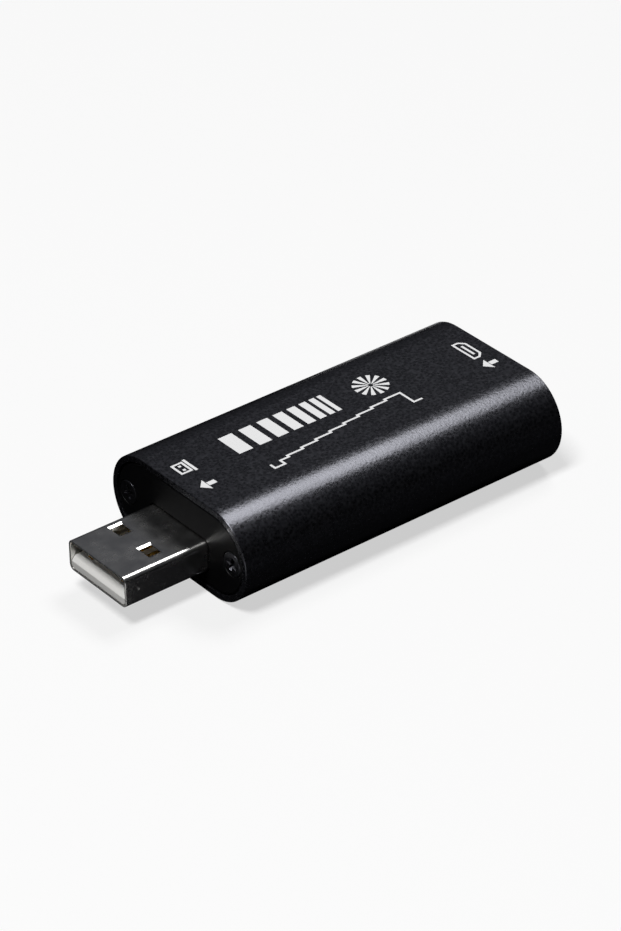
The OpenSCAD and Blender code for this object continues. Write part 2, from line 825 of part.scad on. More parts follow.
// Puts a shape drawn from the origin outwards along +X at every pad of the capture chip
module at_chip_pads() {
    first_y = -(chip_pads - 1) / 2 * chip_pitch - chip_pad_w / 2;
    for (turn = [0 : 90 : 270], i = [0 : chip_pads - 1])
        translate([chip_x, 0, board_top]) rotate([0, 0, turn])
            translate([chip_w / 2 - chip_pad_len, first_y + i * chip_pitch, 0]) children();
}

module capture_chip() {
    color("#202022") difference() {
        translate([chip_x, 0, board_top])
            block([-chip_w / 2, -chip_w / 2, 0], [chip_w / 2, chip_w / 2, chip_t]);
        at_chip_pads()
            translate([0, 0, -cut]) cube([chip_pad_len + cut, chip_pad_w, chip_pad_t + cut]);
    }
}

module capture_chip_pads() {
    color("#c8c8cc") at_chip_pads() cube([chip_pad_len, chip_pad_w, chip_pad_t]);
}

// The body of a small package, bevelled along its upper edge on the first-lead side
module package_body(x, y, length, w, t) {
    bevel = t / 4;
    along_x(x - length / 2, x + length / 2)
        translate([y, board_top + package_lift])
            polygon([[-w / 2, 0], [w / 2, 0], [w / 2, t], [-w / 2 + bevel, t], [-w / 2, t - bevel]]);
}

// One bent lead of a small package: side is 1 or -1 across the body
module package_lead(x, y, side, w, t) {
    start = w / 2;
    mid = package_lift + t / 2;
    bend = start + lead_reach / 2;
    along_x(x - lead_w / 2, x + lead_w / 2)
        translate([y, board_top])
            polygon([
                for (p = [
                    [start, mid - lead_t / 2],
                    [bend - lead_t, mid - lead_t / 2],
                    [bend - lead_t, 0],
                    [start + lead_reach, 0],
                    [start + lead_reach, lead_t],
                    [bend, lead_t],
                    [bend, mid + lead_t / 2],
                    [start, mid + lead_t / 2]
                ])
                    [side * p[0], p[1]]
            ]);
}

module memory_chip() {
    color("#242426") package_body(memory_x, memory_y, memory_len, memory_w, memory_t);
}

module memory_chip_leads() {
    color("#c8c8cc") for (side = [-1, 1], i = [0 : 3])
        package_lead(memory_x + (i - 1.5) * memory_pitch, memory_y, side, memory_w, memory_t);
}

module voltage_regulators() {
    color("#242426") for (x = regulator_xs)
        package_body(x, regulator_y, regulator_len, regulator_w, regulator_t);
}

// Three leads on one side of each regulator, and the outer two on the other
module regulator_leads() {
    color("#c8c8cc") for (x = regulator_xs) {
        for (i = [-1, 0, 1])
            package_lead(x + i * regulator_pitch, regulator_y, -1, regulator_w, regulator_t);
        for (i = [-1, 1])
            package_lead(x + i * regulator_pitch, regulator_y, 1, regulator_w, regulator_t);
    }
}

// Half length of the crystal's base
crystal_half_len = crystal_len / 2 + 2 * crystal_flange;

module crystal_can() {
    color("#d0d0d4") translate([crystal_x, crystal_y, board_top + crystal_base_t]) {
        linear_extrude(crystal_t) stadium(crystal_len, crystal_w);
        linear_extrude(crystal_flange)
            stadium(crystal_len + 2 * crystal_flange, crystal_w + 2 * crystal_flange);
    }
}

// The two flat leads lie in slots under the ends of the base
module at_crystal_leads() {
    for (side = [-1, 1])
        translate([crystal_x, crystal_y, board_top]) scale([side, 1, 1])
            translate([crystal_half_len - crystal_w / 2, -lead_w, 0]) children();
}

module crystal_base() {
    half_w = crystal_w / 2 + crystal_flange + root;
    color("#1e1e20") difference() {
        block(
            [crystal_x - crystal_half_len, crystal_y - half_w, board_top],
            [crystal_x + crystal_half_len, crystal_y + half_w, board_top + crystal_base_t]
        );
        at_crystal_leads()
            translate([0, 0, -cut]) cube([crystal_w + cut, 2 * lead_w, lead_t + cut]);
    }
}

module crystal_leads() {
    color("#c8c8cc") at_crystal_leads() cube([crystal_w / 2 + lead_reach / 2, 2 * lead_w, lead_t]);
}

// Puts a shape drawn along X from the origin at each place [x, y, turn] on the board
module at_places(places) {
    for (p = places)
        translate([p[0], p[1], board_top]) rotate([0, 0, p[2]]) children();
}

// The middle of a chip capacitor or resistor
module passive_body(t) {
    half = passive_len / 2 - passive_end;
    block([-half, -passive_w / 2, 0], [half, passive_w / 2, t]);
}

// The two metal ends of a chip capacitor or resistor
module passive_ends(t) {
    for (side = [0, 1])
        translate([side * (passive_len - passive_end) - passive_len / 2, -passive_w / 2, 0])
            cube([passive_end, passive_w, t]);
}

module capacitor_bodies() {
    color("#b08c62") at_places(capacitor_places) passive_body(capacitor_t);
}

module capacitor_ends() {
    color("#c8c8cc") at_places(capacitor_places) passive_ends(capacitor_t);
}

module resistor_bodies() {
    color("#1c1c20") at_places(resistor_places) passive_body(resistor_t);
}

module resistor_ends() {
    color("#c8c8cc") at_places(resistor_places) passive_ends(resistor_t);
}

body_sleeve();
plug_end_plate();
socket_end_plate();
plug_end_screws();
socket_end_screws();
circuit_board();
plug_shell();
plug_insulator();
plug_contacts();
socket_shell();
socket_insulator();
socket_upper_contacts();
socket_lower_contacts();
capture_chip();
capture_chip_pads();
memory_chip();
memory_chip_leads();
crystal_can();
crystal_base();
crystal_leads();
voltage_regulators();
regulator_leads();
capacitor_bodies();
capacitor_ends();
resistor_bodies();
resistor_ends();
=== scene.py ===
"""Looks of the video capture stick: finishes, print, screws and studio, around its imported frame.

Sizes and places are in millimetres in the part's own frame: X runs from the plug's tip to the socket,
Y across the width and Z up from the resting face.
"""

import logging
import math
from dataclasses import dataclass, field
from enum import Enum
from typing import Any, Callable, Sequence

import bmesh
import bpy
from bmesh.types import BMesh
from bpy.types import ID, Material, Mesh, Node, NodeSocket, NodeTree, Object
from mathutils import Matrix, Vector

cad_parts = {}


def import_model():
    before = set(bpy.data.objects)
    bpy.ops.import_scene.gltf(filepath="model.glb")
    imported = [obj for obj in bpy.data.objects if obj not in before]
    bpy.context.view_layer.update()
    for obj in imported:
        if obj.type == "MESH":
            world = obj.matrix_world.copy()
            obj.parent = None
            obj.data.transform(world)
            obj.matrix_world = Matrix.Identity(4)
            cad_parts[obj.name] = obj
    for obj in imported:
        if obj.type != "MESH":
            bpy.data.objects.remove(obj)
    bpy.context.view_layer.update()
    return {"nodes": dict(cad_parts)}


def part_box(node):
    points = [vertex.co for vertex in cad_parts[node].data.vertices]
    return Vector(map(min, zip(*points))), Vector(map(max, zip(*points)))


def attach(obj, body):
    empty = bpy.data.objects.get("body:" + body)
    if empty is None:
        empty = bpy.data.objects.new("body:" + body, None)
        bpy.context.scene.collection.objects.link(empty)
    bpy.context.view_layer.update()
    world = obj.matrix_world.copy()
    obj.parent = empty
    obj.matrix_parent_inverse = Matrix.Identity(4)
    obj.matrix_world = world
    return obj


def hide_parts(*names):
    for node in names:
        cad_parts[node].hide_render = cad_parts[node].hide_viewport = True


LOG = logging.getLogger("capture_stick")

MM = 0.001
BODY = "root"

Point = tuple[float, float]
Place = tuple[float, float, float]
Colour = tuple[float, float, float, float]
Nodes = dict[str, Object]

# Bend past which an edge is drawn sharp.
CREASE_DEG = 35.0
# The range in which most values of a noise lie.
NOISE_RANGE = {"From Min": 0.3, "From Max": 0.7}


class Slot(Enum):
    """The record's material slots."""

    SLEEVE = "black_anodised_aluminium"
    PLATE = "black_plate"
    SCREW = "black_screw"
    NICKEL = "nickel_steel"
    WHITE_PLASTIC = "white_plastic"
    BLACK_PLASTIC = "black_plastic"
    GOLD = "gold_plated"
    BOARD = "green_board"
    TIN = "tinned_metal"
    CERAMIC = "tan_ceramic"


class End(Enum):
    """The stick's two ends: the turn about Z that points a screw into the sleeve there."""

    PLUG = 0.0
    SOCKET = math.pi


# Node and colour tools


def linear(colour: str, gain: float = 1.0) -> Colour:
    """Turns an sRGB hex colour to linear.

    Args:
        colour: Six hex digits after a hash sign.
        gain: Factor on the linear colour.

    Returns:
        Linear red, green and blue, and an alpha of one.
    """
    channels = [int(colour[i : i + 2], 16) / 255 for i in (1, 3, 5)]
    red, green, blue = (c / 12.92 if c <= 0.04045 else ((c + 0.055) / 1.055) ** 2.4 for c in channels)
    return red * gain, green * gain, blue * gain, 1.0


def add_node(
    tree: NodeTree, kind: str, inputs: dict[str | int, Any] | None = None, **settings: Any
) -> Node:
    """Adds a node with its settings, its input values and its links.

    Args:
        tree: The tree that gets the node.
        kind: The node's type name.
        inputs: A value, or another node's output to link, for each input by name or number.
        **settings: The node's own properties.

    Returns:
        The new node.
    """
    node = tree.nodes.new(kind)
    for name, value in settings.items():
        setattr(node, name, value)
    feed(node, inputs or {})
    return node


def feed(node: Node, inputs: dict[str | int, Any]) -> None:
    """Gives a node its input values and its links.

    Args:
        node: The node.
        inputs: A value, or another node's output to link, for each input by name or number.
    """
    for key, value in inputs.items():
        if isinstance(value, NodeSocket):
            node.id_data.links.new(value, node.inputs[key])
        else:
            node.inputs[key].default_value = value


# Finishes


@dataclass(frozen=True)
class Skin:
    """A material while it is made.

    Attributes:
        tree: The material's tree.
        place: Where on the piece the surface lies.
        grain: The grain's height.
    """

    tree: NodeTree
    place: NodeSocket
    grain: NodeSocket


@dataclass(frozen=True)
class Finish:
    """A surface: what it is made of and how it was made.

    Attributes:
        name: The material's common name and its surface.
        slot: The record's slot for it; not used.
        colour: Colour of the surface as sRGB hex.
        roughness: Mean roughness.
        metallic: One for bare metal, zero for anything else.
        ior: Refractive index; a metal keeps the default.
        gleam: Tint of the highlights as sRGB hex.
        grain_mm: Width of one grain or dimple of the surface.
        grain_stretch: Length of a grain along X, as a multiple of its width.
        grain_depth_mm: Height of the grain.
        shade_spread: Share by which the colour changes from grain to grain.
        patch_mm: Width of the broad patches that handling and moulding leave.
        gloss_spread: How far the roughness changes from patch to patch.
    """

    name: str
    slot: Slot
    colour: str
    roughness: float
    metallic: float = 0.0
    ior: float = 1.5
    gleam: str = "#ffffff"
    grain_mm: float = 0.25
    grain_stretch: float = 1.0
    grain_depth_mm: float = 0.002
    shade_spread: float = 0.1
    patch_mm: float = 4.0
    gloss_spread: float = 0.04

    def material(self) -> Material:
        """Returns the finish's material, made at its first use."""
        return bpy.data.materials.get(self.name) or self.build()

    def build(self) -> Material:
        """Builds the material: a Principled surface with grain, patches and fine relief.

        Returns:
            The new material.
        """
        material = bpy.data.materials.new(self.name)
        material.use_nodes = True
        tree = material.node_tree
        place = add_node(tree, "ShaderNodeTexCoord").outputs["Object"]
        skin = Skin(tree, place, self.grain(tree, place))
        relief = add_node(
            tree,
            "ShaderNodeBump",
            {"Height": skin.grain, "Strength": 1.0, "Distance": self.grain_depth_mm * MM},
        )
        feed(
            tree.nodes["Principled BSDF"],
            {
                "Base Color": self.shade(skin),
                "Metallic": self.metallic,
                "Roughness": self.gloss(skin),
                "IOR": self.ior,
                "Normal": relief.outputs["Normal"],
                "Specular IOR Level": self.gleam_level(skin),
                "Specular Tint": linear(self.gleam),
            },
        )
        return material

    def gleam_level(self, skin: Skin) -> NodeSocket | float:
        """Returns the strength of the highlights: a half, which is that of the refractive index."""
        return 0.5

    def grain(self, tree: NodeTree, place: NodeSocket) -> NodeSocket:
        """Adds the surface's grain.

        Args:
            tree: The material's tree.
            place: Where on the piece the surface lies.

        Returns:
            The grain's height, about one half on average.
        """
        lay = add_node(
            tree, "ShaderNodeMapping", {"Vector": place, "Scale": (1 / self.grain_stretch, 1.0, 1.0)}
        ).outputs["Vector"]
        return add_node(
            tree,
            "ShaderNodeTexNoise",
            {"Vector": lay, "Scale": 1 / (self.grain_mm * MM), "Detail": 2.0, "Roughness": 0.6},
        ).outputs["Fac"]

    def shade(self, skin: Skin) -> NodeSocket:
        """Adds the colour, darker and lighter with the grain.

        Args:
            skin: The material under way.

        Returns:
            The colour.
        """
        noise = {"Value": skin.grain, **NOISE_RANGE}
        share = add_node(skin.tree, "ShaderNodeMapRange", noise).outputs["Result"]
        dark, light = (linear(self.colour, 1 + sign * self.shade_spread) for sign in (-1, 1))
        ends = {0: share, 6: dark, 7: light}
        return add_node(skin.tree, "ShaderNodeMix", ends, data_type="RGBA").outputs[2]

    def gloss(self, skin: Skin) -> NodeSocket:
        """Adds the roughness, which changes slowly over broad patches.

        Args:
            skin: The material under way.

        Returns:
            The roughness.
        """
        patches = add_node(
            skin.tree,
            "ShaderNodeTexNoise",
            {"Vector": skin.place, "Scale": 1 / (self.patch_mm * MM), "Detail": 3.0, "Roughness": 0.55},
        ).outputs["Fac"]
        ends = {"To Min": self.roughness - self.gloss_spread, "To Max": self.roughness + self.gloss_spread}
        noise = {"Value": patches, **NOISE_RANGE}
        return add_node(skin.tree, "ShaderNodeMapRange", noise | ends).outputs["Result"]


@dataclass(frozen=True)
class BlastedFinish(Finish):
    """Metal blasted with fine beads before it was anodised: a skin of small overlapping dimples.

    Attributes:
        speck_share: Share of the grain that comes from a finer speckle between the dimples.
        speck_gleam: Share by which the highlights change from dimple to dimple.
        speck_gloss: How far the roughness changes from dimple to dimple.
    """

    speck_share: float = 0.5
    speck_gleam: float = 0.25
    speck_gloss: float = 0.05

    def grain(self, tree: NodeTree, place: NodeSocket) -> NodeSocket:
        """Adds the dimples and the finer speckle between them.

        Args:
            tree: The material's tree.
            place: Where on the piece the surface lies.

        Returns:
            The grain's height, about one half on average.
        """
        dimples = add_node(
            tree,
            "ShaderNodeTexVoronoi",
            {"Vector": place, "Scale": 1 / (self.grain_mm * MM), "Smoothness": 0.6},
            feature="SMOOTH_F1",
        ).outputs["Distance"]
        specks = super().grain(tree, place)
        return add_node(
            tree, "ShaderNodeMix", {0: self.speck_share, 2: dimples, 3: specks}, data_type="FLOAT"
        ).outputs[0]

    def gloss(self, skin: Skin) -> NodeSocket:
        """Adds the roughness, which also changes from dimple to dimple.

        Args:
            skin: The material under way.

        Returns:
            The roughness.
        """
        noise = {"Value": skin.grain, **NOISE_RANGE}
        ends = {"To Min": -self.speck_gloss, "To Max": self.speck_gloss}
        speckle = add_node(skin.tree, "ShaderNodeMapRange", noise | ends).outputs["Result"]
        terms = {0: super().gloss(skin), 1: speckle}
        return add_node(skin.tree, "ShaderNodeMath", terms, operation="ADD").outputs["Value"]

    def gleam_level(self, skin: Skin) -> NodeSocket | float:
        """Adds the strength of the highlights, which changes from dimple to dimple.

        Args:
            skin: The material under way.

        Returns:
            The strength, about one half on average.
        """
        noise = {"Value": skin.grain, **NOISE_RANGE}
        ends = {"To Min": (1 - self.speck_gleam) / 2, "To Max": (1 + self.speck_gleam) / 2}
        return add_node(skin.tree, "ShaderNodeMapRange", noise | ends).outputs["Result"]


@dataclass(frozen=True)
class ResistFinish(Finish):
    """Solder resist on a laminate, with copper tracks that show through as paler lines.

    Attributes:
        track_pitch_mm: Distance between neighbouring tracks.
        track_share: Half the width of a track, as a share of that distance.
        track_colour: Colour of the resist over copper as sRGB hex.
    """

    track_pitch_mm: float = 1.2
    track_share: float = 0.08
    track_colour: str = "#2f7a48"

    def shade(self, skin: Skin) -> NodeSocket:
        """Adds the resist's colour with the tracks under it.

        Args:
            skin: The material under way.

        Returns:
            The colour.
        """
        resist = super().shade(skin)
        cells = add_node(
            skin.tree,
            "ShaderNodeTexVoronoi",
            {"Vector": skin.place, "Scale": 1 / (self.track_pitch_mm * MM), "Randomness": 0.8},
            feature="DISTANCE_TO_EDGE",
        ).outputs["Distance"]
        over_copper = add_node(
            skin.tree, "ShaderNodeMath", {0: cells, 1: self.track_share}, operation="LESS_THAN"
        ).outputs["Value"]
        ends = {0: over_copper, 6: resist, 7: linear(self.track_colour)}
        return add_node(skin.tree, "ShaderNodeMix", ends, data_type="RGBA").outputs[2]


# Bead-blasted and anodised: the dye makes it near black and the oxide skin gives a wide soft gleam.
# The real dimples are about 0.05 mm wide. They are drawn coarser, so that they show as sparkle.
ANODISED_ALUMINIUM = BlastedFinish(
    "bead_blasted_black_anodised_aluminium",
    Slot.SLEEVE,
    "#0d0d0f",
    roughness=0.295,
    ior=2.0,
    gleam="#f2f3ff",
    grain_mm=0.4,
    grain_depth_mm=0.022,
    shade_spread=0.5,
    patch_mm=6.0,
    gloss_spread=0.01,
)
# Stamped plate with smooth satin black paint: no grain to see, and a soft blurred gleam.
PAINTED_PLATE = Finish(
    "satin_black_painted_plate",
    Slot.PLATE,
    "#050506",
    roughness=0.45,
    ior=1.36,
    grain_mm=0.35,
    grain_depth_mm=0.003,
)
# Steel blackened in an oxide bath: dark, still metallic, slightly uneven.
BLACK_OXIDE_STEEL = Finish(
    "black_oxide_steel",
    Slot.SCREW,
    "#5c5c61",
    roughness=0.36,
    metallic=1.0,
    grain_mm=0.12,
    shade_spread=0.2,
    patch_mm=0.6,
)
# Folded steel strip with bright nickel: a mirror blurred by faint rolling lines along the strip.
NICKEL_PLATE = Finish(
    "nickel_plated_steel",
    Slot.NICKEL,
    "#dddcd9",
    roughness=0.25,
    metallic=1.0,
    grain_mm=0.09,
    grain_stretch=24.0,
    grain_depth_mm=0.0004,
    shade_spread=0.05,
    patch_mm=2.5,
)
# Moulded thermoplastic, as it comes from the tool: even, with a dull satin skin.
WHITE_PBT = Finish(
    "white_moulded_plastic", Slot.WHITE_PLASTIC, "#f4f3ef", roughness=0.45, grain_mm=0.2, shade_spread=0.02
)
BLACK_LCP = Finish(
    "black_moulded_plastic", Slot.BLACK_PLASTIC, "#1c1c1e", roughness=0.42, grain_mm=0.2, shade_spread=0.12
)
# Copper alloy strip with a thin skin of gold: warm and bright, with rolling lines.
GOLD_PLATE = Finish(
    "gold_plated_bronze",
    Slot.GOLD,
    "#e4b85c",
    roughness=0.22,
    metallic=1.0,
    grain_mm=0.06,
    grain_stretch=12.0,
    grain_depth_mm=0.0004,
    shade_spread=0.06,
    patch_mm=1.2,
)
# Glass-fibre laminate under green solder resist: glossy, with paler lines where copper lies under it.
BOARD_LAMINATE = ResistFinish(
    "green_solder_resist_on_laminate", Slot.BOARD, "#14502b", roughness=0.3, grain_mm=0.4, shade_spread=0.08
)
# Epoxy packages: matt from the mould's eroded surface.
CHIP_EPOXY = Finish(
    "black_epoxy_package", Slot.BLACK_PLASTIC, "#222224", roughness=0.6, grain_mm=0.08, grain_depth_mm=0.004
)
# Matt tin over copper leads and metal cans: pale grey, softly blurred.
TIN_PLATE = Finish(
    "matt_tin_plate",
    Slot.TIN,
    "#c4c4c6",
    roughness=0.36,
    metallic=1.0,
    grain_mm=0.05,
    shade_spread=0.08,
    patch_mm=0.8,
)
# Fired barium titanate: dry, tan, faintly speckled.
FIRED_CERAMIC = Finish(
    "fired_tan_ceramic", Slot.CERAMIC, "#a88158", roughness=0.55, grain_mm=0.06, shade_spread=0.15
)
# Screen-printed ink: a matt white film with the mesh's faint mottle.
SCREEN_INK = Finish(
    "white_screen_print_ink", Slot.WHITE_PLASTIC, "#eeeeee", roughness=0.55, grain_mm=0.12, shade_spread=0.04
)


# Mesh tools


def new_object(name: str, data: ID) -> Object:
    """Makes an object in the scene.

    Args:
        name: The object's name.
        data: Its mesh, lamp or camera.

    Returns:
        The object.
    """
    thing = bpy.data.objects.new(name, data)
    bpy.context.scene.collection.objects.link(thing)
    return thing


def dress(piece: Object, finish: Finish, edge: float = 0.0) -> None:
    """Gives a piece one finish over all its faces.

    Args:
        piece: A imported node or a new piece.
        finish: The finish that it gets.
        edge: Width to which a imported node's edges are rounded, or zero.
    """
    if edge:
        soften(piece, edge)
    piece.data.materials.clear()
    piece.data.materials.append(finish.material())
    LOG.info("%s: %d faces, %s", piece.name, len(piece.data.polygons), finish.name)


def add_piece(name: str, mesh: Mesh, finish: Finish, stands_for: str | None = None) -> Object:
    """Makes a mesh a piece of the object.

    Args:
        name: The piece's name.
        mesh: Its mesh, already in place.
        finish: The finish that it gets.
        stands_for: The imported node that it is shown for.

    Returns:
        The new piece.
    """
    piece = new_object(name, mesh)
    dress(piece, finish)
    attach(piece, BODY)
    if stands_for:
        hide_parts(stands_for)
    return piece


def finished_mesh(bm: BMesh, name: str, sharp_deg: float = CREASE_DEG) -> Mesh:
    """Turns a bmesh to a mesh that is smooth but for its sharp edges.

    Args:
        bm: The shape, which is freed.
        name: The mesh's name.
        sharp_deg: Edges that bend more than this stay sharp.

    Returns:
        The mesh.
    """
    bmesh.ops.recalc_face_normals(bm, faces=bm.faces)
    mesh = bpy.data.meshes.new(name)
    bm.to_mesh(mesh)
    bm.free()
    mesh.shade_smooth()
    mesh.set_sharp_from_angle(angle=math.radians(sharp_deg))
    return mesh


def weigh_normals(piece: Object) -> None:
    """Lets the large flat faces of a piece set its shading.

    Args:
        piece: The piece.
    """
    weights = piece.modifiers.new("flat faces", "WEIGHTED_NORMAL")
    weights.keep_sharp = True
    weights.weight = 100


def soften(node: Object, width: float, weld_mm: float = 0.001, flat_deg: float = 0.5) -> None:
    """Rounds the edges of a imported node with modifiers, so that they catch the light.

    Args:
        node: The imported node.
        width: Width of the rounding.
        weld_mm: Corners that are nearer than this are one.
        flat_deg: Faces that bend less than this are one.
    """
    weld = node.modifiers.new("joined faces", "WELD")
    weld.merge_threshold = weld_mm * MM
    facets = node.modifiers.new("whole faces", "DECIMATE")
    facets.decimate_type = "DISSOLVE"
    facets.angle_limit = math.radians(flat_deg)
    edges = node.modifiers.new("rounded edges", "BEVEL")
    edges.limit_method = "ANGLE"
    edges.angle_limit = math.radians(CREASE_DEG)
    edges.width = width * MM
    edges.segments = 2
    weigh_normals(node)


def rounded_copy(
    node: Object,
    chosen: Callable[[Vector], bool],
    width: float,
    name: str,
    sharp_deg: float = CREASE_DEG,
    weld_mm: float = 0.0005,
    flat_deg: float = 0.4,
) -> Mesh:
    """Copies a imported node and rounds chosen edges, as a stamped or moulded piece has them.

    Args:
        node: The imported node.
        chosen: Test of an edge by its middle in millimetres.
        width: Width of the rounding.
        name: The copy's name.
        sharp_deg: Edges that bend more than this are drawn sharp.
        weld_mm: Corners that are nearer than this are one.
        flat_deg: Faces that bend less than this are one.

    Returns:
        The rounded mesh.
    """
    bm = bmesh.new()
    bm.from_mesh(node.data)
    bmesh.ops.remove_doubles(bm, verts=bm.verts, dist=weld_mm * MM)
    bmesh.ops.dissolve_limit(bm, angle_limit=math.radians(flat_deg), verts=bm.verts, edges=bm.edges)
    corners = [
        edge
        for edge in bm.edges
        if edge.is_manifold
        and edge.calc_face_angle() > math.radians(CREASE_DEG)
        and chosen((edge.verts[0].co + edge.verts[1].co) / (2 * MM))
    ]
    bmesh.ops.bevel(
        bm, geom=corners, offset=width * MM, segments=3, profile=0.5, affect="EDGES", clamp_overlap=False
    )
    bmesh.ops.remove_doubles(bm, verts=bm.verts, dist=weld_mm * MM)
    return finished_mesh(bm, name, sharp_deg)


def rectangle(x: float, y: float, length: float, width: float) -> list[Point]:
    """Returns the corners, in order, of a rectangle around a middle, with its length along X."""
    a, b = length / 2, width / 2
    return [(x - a, y - b), (x + a, y - b), (x + a, y + b), (x - a, y + b)]


def loft(bm: BMesh, rings: Sequence[Sequence[Place]], closed: bool = False) -> None:
    """Adds a solid that is drawn through rings of corners.

    Args:
        bm: The mesh that gets it.
        rings: The corners of each ring, in order.
        closed: Whether the last ring joins the first; otherwise each of them is filled.
    """
    drawn = [[bm.verts.new([v * MM for v in corner]) for corner in ring] for ring in rings]
    if not closed:
        bm.faces.new(drawn[0])
        bm.faces.new(drawn[-1])
    for a, b in zip(drawn, drawn[1:] + (drawn[:1] if closed else [])):
        for i in range(len(a)):
            bm.faces.new((a[i - 1], a[i], b[i], b[i - 1]))


def prism(bm: BMesh, outline: Sequence[Point], film: Point) -> None:
    """Adds a printed patch by its corners, in order, between the heights of its underside and top."""
    loft(bm, [[(x, y, z) for x, y in outline] for z in film])


def stroke(bm: BMesh, line: Sequence[Point], width: float, film: Point, closed: bool = False) -> None:
    """Adds a printed line with mitred corners.

    Args:
        bm: The mesh that gets it.
        line: Its corners in X and Y.
        width: Width of the line.
        film: Heights of its underside and top.
        closed: Whether the line's ends meet.
    """
    points = [Vector(p) for p in line]
    runs = [(b - a).normalized() for a, b in zip(points, points[1:] + points[:1])]
    low, high = film
    sections = []
    for i, point in enumerate(points):
        before = runs[i - 1] if closed or i > 0 else runs[0]
        after = runs[i] if closed or i < len(points) - 1 else runs[-2]
        mitre = (before + after).orthogonal() / (1 + before.dot(after)) * width / 2
        corners = ((-1, low), (1, low), (1, high), (-1, high))
        sections.append([(*(point + mitre * side), z) for side, z in corners])
    loft(bm, sections, closed)


# Rows of copies


def row_tree() -> NodeTree:
    """Returns the Geometry Nodes tree that sets copies of a mesh in a row, made at its first use.

    Each copy is narrower than the one before it by the taper, and so is the step that follows it.

    Returns:
        The tree.
    """
    name = "row_of_copies"
    if name in bpy.data.node_groups:
        return bpy.data.node_groups[name]
    tree = bpy.data.node_groups.new(name, "GeometryNodeTree")
    sockets = {
        "Geometry": "Geometry",
        "Count": "Int",
        "First": "Vector",
        "Step": "Vector",
        "Taper": "Float",
        "Turn": "Vector",
        "Turn step": "Vector",
        "Material": "Material",
    }
    for label, kind in sockets.items():
        tree.interface.new_socket(label, in_out="INPUT", socket_type=f"NodeSocket{kind}")
    tree.interface.new_socket("Geometry", in_out="OUTPUT", socket_type="NodeSocketGeometry")

    def work(operation: str, *values: Any) -> NodeSocket:
        """Adds a sum on numbers."""
        return add_node(tree, "ShaderNodeMath", dict(enumerate(values)), operation=operation).outputs[0]

    def work_vector(operation: str, *values: Any) -> NodeSocket:
        """Adds a sum on vectors."""
        return add_node(tree, "ShaderNodeVectorMath", dict(enumerate(values)), operation=operation).outputs[0]

    given = add_node(tree, "NodeGroupInput").outputs
    index = add_node(tree, "GeometryNodeInputIndex").outputs["Index"]
    narrowed = work("MULTIPLY", index, given["Taper"])
    pairs = work("MULTIPLY", work("SUBTRACT", index, 1.0), narrowed)
    steps = work("SUBTRACT", index, work("MULTIPLY", pairs, 0.5))
    travel = add_node(
        tree, "ShaderNodeVectorMath", {"Vector": given["Step"], "Scale": steps}, operation="SCALE"
    ).outputs[0]
    turn = work_vector("MULTIPLY_ADD", given["Turn step"], index, given["Turn"])
    width = add_node(tree, "ShaderNodeCombineXYZ", {0: work("SUBTRACT", 1.0, narrowed), 1: 1.0, 2: 1.0})
    points = add_node(
        tree,
        "GeometryNodePoints",
        {"Count": given["Count"], "Position": work_vector("ADD", given["First"], travel)},
    )
    copies = add_node(
        tree,
        "GeometryNodeInstanceOnPoints",
        {
            "Points": points.outputs[0],
            "Instance": given["Geometry"],
            "Rotation": add_node(tree, "FunctionNodeEulerToRotation", {0: turn}).outputs[0],
            "Scale": width.outputs[0],
        },
    )
    whole = add_node(tree, "GeometryNodeRealizeInstances", {0: copies.outputs[0]})
    dressed = add_node(
        tree, "GeometryNodeSetMaterial", {"Geometry": whole.outputs[0], "Material": given["Material"]}
    )
    add_node(tree, "NodeGroupOutput", {0: dressed.outputs[0]})
    return tree


@dataclass(frozen=True)
class Row:
    """A row of copies of one mesh.

    Attributes:
        count: Number of copies.
        first: Place of the first copy.
        step: From one copy to the next, before the taper.
        taper: Share of the first copy's width by which each next one is narrower.
        turn: Turns of the first copy about X, Y and Z, in that order, in radians.
        turn_step: Turns added from copy to copy.
    """

    count: int
    first: Place
    step: Place
    taper: float = 0.0
    turn: Place = (0.0, 0.0, 0.0)
    turn_step: Place = (0.0, 0.0, 0.0)

    def build(self, mesh: Mesh, finish: Finish) -> Mesh:
        """Sets the copies in place.

        Args:
            mesh: One copy, at the origin.
            finish: The finish that they get.

        Returns:
            All the copies as one plain mesh.
        """
        tree = row_tree()
        holder = new_object(mesh.name, mesh)
        row = holder.modifiers.new("row", "NODES")
        row.node_group = tree
        values = {
            "Count": self.count,
            "First": [v * MM for v in self.first],
            "Step": [v * MM for v in self.step],
            "Taper": self.taper,
            "Turn": list(self.turn),
            "Turn step": list(self.turn_step),
            "Material": finish.material(),
        }
        for socket in tree.interface.items_tree:
            if socket.in_out == "INPUT" and socket.name in values:
                row[socket.identifier] = values[socket.name]
        return plain_mesh(holder)


def plain_mesh(holder: Object) -> Mesh:
    """Turns an object with modifiers to a plain mesh and removes the object.

    Args:
        holder: The object.

    Returns:
        The mesh that its modifiers made.
    """
    evaluated = holder.evaluated_get(bpy.context.evaluated_depsgraph_get())
    mesh = bpy.data.meshes.new_from_object(evaluated)
    bpy.data.objects.remove(holder)
    return mesh


# Sub-assemblies


@dataclass
class Housing:
    """The sleeve and its two end plates.

    Attributes:
        nodes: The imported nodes.
        sleeve_edge: Rounding that blasting leaves on the sleeve's edges.
        plate_edge: Rounding of the painted plates' edges.
    """

    nodes: Nodes
    sleeve_edge: float = 0.08
    plate_edge: float = 0.06

    def build(self) -> None:
        """Rounds and dresses the sleeve and the plates."""
        dress(self.nodes["body_sleeve"], ANODISED_ALUMINIUM, self.sleeve_edge)
        for name in ("plug_end_plate", "socket_end_plate"):
            dress(self.nodes[name], PAINTED_PLATE, self.plate_edge)


